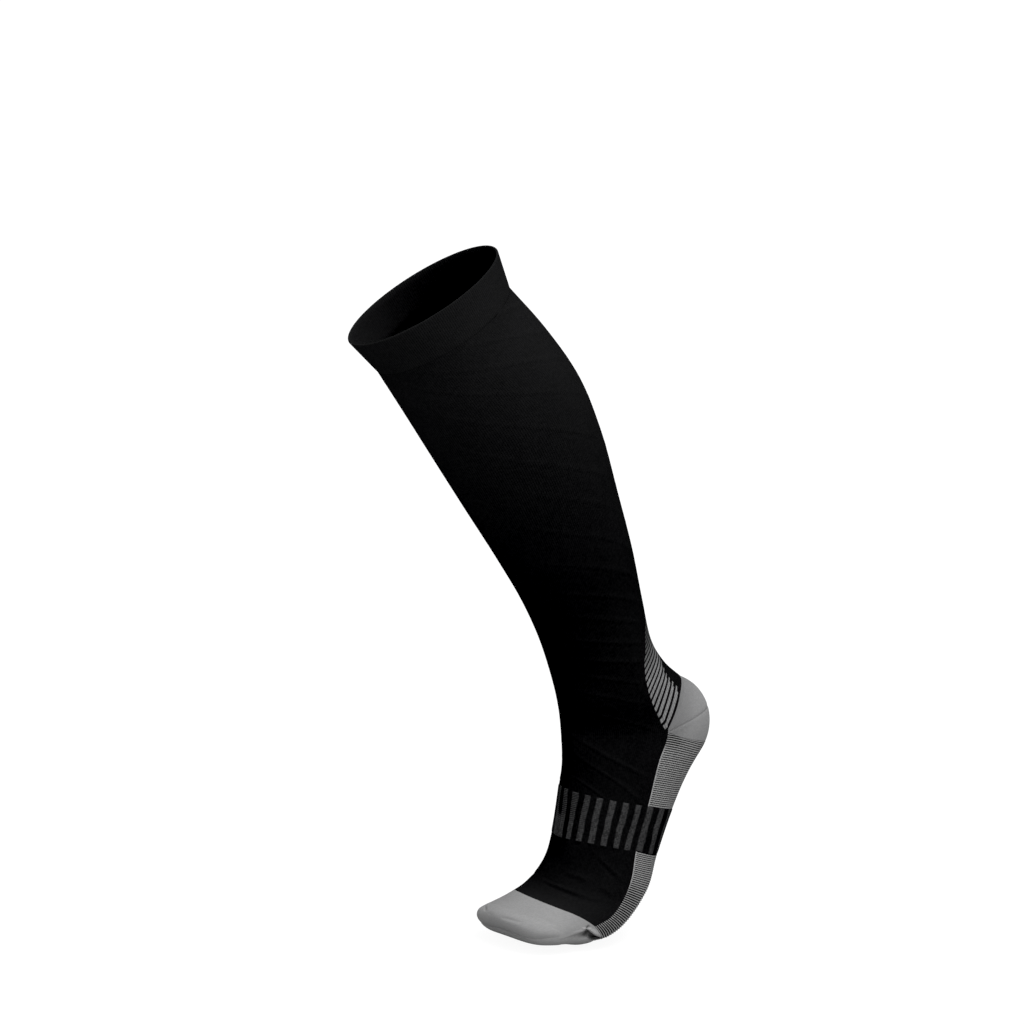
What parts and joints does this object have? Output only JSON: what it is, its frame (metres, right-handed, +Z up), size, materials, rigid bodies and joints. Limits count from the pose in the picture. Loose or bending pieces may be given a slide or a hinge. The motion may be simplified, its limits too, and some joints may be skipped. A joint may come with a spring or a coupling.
{
  "type": "compression stocking",
  "caption": "Knee-high compression stocking in its worn form with the heel raised, open at the top, with a grey heel pocket, a ribbed arch band and a closed grey toe.",
  "frame": {"origin": "middle of the top opening, where the calf just below the knee holds the stocking", "axes": "+Z up, towards the knee; -Y towards the toes, +Y towards the heel; +X towards the outer side of the leg"},
  "size_m": [0.114, 0.2876, 0.5246],
  "materials": {
    "welt_black": "matte ribbed knit",
    "leg_black": "fine knit with a slight sheen",
    "heel_grey": "matte plain knit",
    "instep_black": "fine knit",
    "sole_stripe": "matte knit with fine cross stripes in black and light grey",
    "band_stripe": "ribbed knit with lengthwise stripes in black and dark grey",
    "forefoot_black": "fine knit",
    "forefoot_stripe": "matte knit with fine cross stripes in black and light grey",
    "toe_grey": "matte plain knit"
  },
  "bodies": {
    "root": {"welt": "welt_black", "leg": "leg_black", "heel": "heel_grey", "instep": "instep_black", "sole": "sole_stripe", "arch_band": "band_stripe", "forefoot_top": "forefoot_black", "forefoot_sole": "forefoot_stripe", "toe": "toe_grey"}
  },
  "joints": []
}
